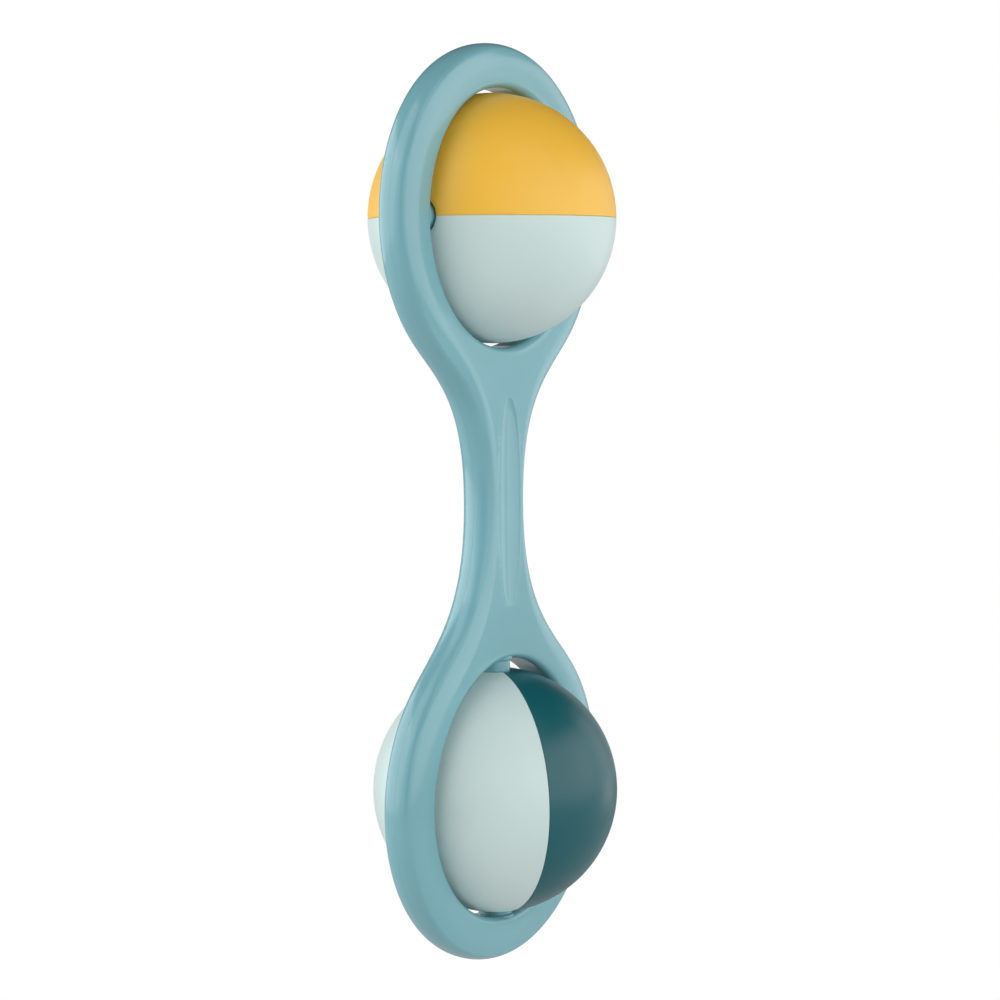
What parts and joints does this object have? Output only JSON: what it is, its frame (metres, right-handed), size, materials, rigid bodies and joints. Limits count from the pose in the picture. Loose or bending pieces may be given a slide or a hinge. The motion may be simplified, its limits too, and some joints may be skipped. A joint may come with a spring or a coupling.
{
  "type": "baby rattle",
  "caption": "Dumb-bell baby rattle with a grip between rings that each hold a spinning, bead-filled ball on axle pins.",
  "frame": {"origin": "in the handle, half way between the two balls' centres and between the front and back faces", "axes": "+Z along the handle to the ball that spins about X, -Y out of the front face, +X to the right seen from the front"},
  "size_m": [0.0626, 0.0448, 0.1672],
  "materials": {
    "frame_blue": "satin",
    "pin_blue": "satin",
    "yellow": "satin",
    "mint": "satin",
    "dark_teal": "satin",
    "bead_white": "satin"
  },
  "bodies": {
    "frame": {"frame_front_shell": "frame_blue", "frame_back_shell": "frame_blue", "upper_axle_left": "pin_blue", "upper_axle_right": "pin_blue", "lower_axle_top": "pin_blue", "lower_axle_bottom": "pin_blue"},
    "upper_ball": {"upper_ball_top_shell": "yellow", "upper_ball_bottom_shell": "mint"},
    "lower_ball": {"lower_ball_left_shell": "mint", "lower_ball_right_shell": "dark_teal"},
    "upper_beads": {"upper_bead_1": "bead_white", "upper_bead_2": "bead_white", "upper_bead_3": "bead_white", "upper_bead_4": "bead_white", "upper_bead_5": "bead_white", "upper_bead_6": "bead_white", "upper_bead_7": "bead_white"},
    "lower_beads": {"lower_bead_1": "bead_white", "lower_bead_2": "bead_white", "lower_bead_3": "bead_white", "lower_bead_4": "bead_white", "lower_bead_5": "bead_white", "lower_bead_6": "bead_white", "lower_bead_7": "bead_white"}
  },
  "joints": [
    {"name": "upper_ball_spin", "type": "hinge", "parent": "frame", "child": "upper_ball", "pos_m": [0, 0, 0.0523], "axis": [1, 0, 0], "continuous": true},
    {"name": "lower_ball_spin", "type": "hinge", "parent": "frame", "child": "lower_ball", "pos_m": [0, 0, -0.0523], "axis": [0, 0, 1], "continuous": true},
    {"name": "upper_beads_roll", "type": "hinge", "parent": "upper_ball", "child": "upper_beads", "pos_m": [0, 0, 0.0523], "axis": [1, 0, 0], "continuous": true},
    {"name": "lower_beads_roll", "type": "hinge", "parent": "lower_ball", "child": "lower_beads", "pos_m": [0, 0, -0.0523], "axis": [0, 0, 1], "continuous": true}
  ]
}
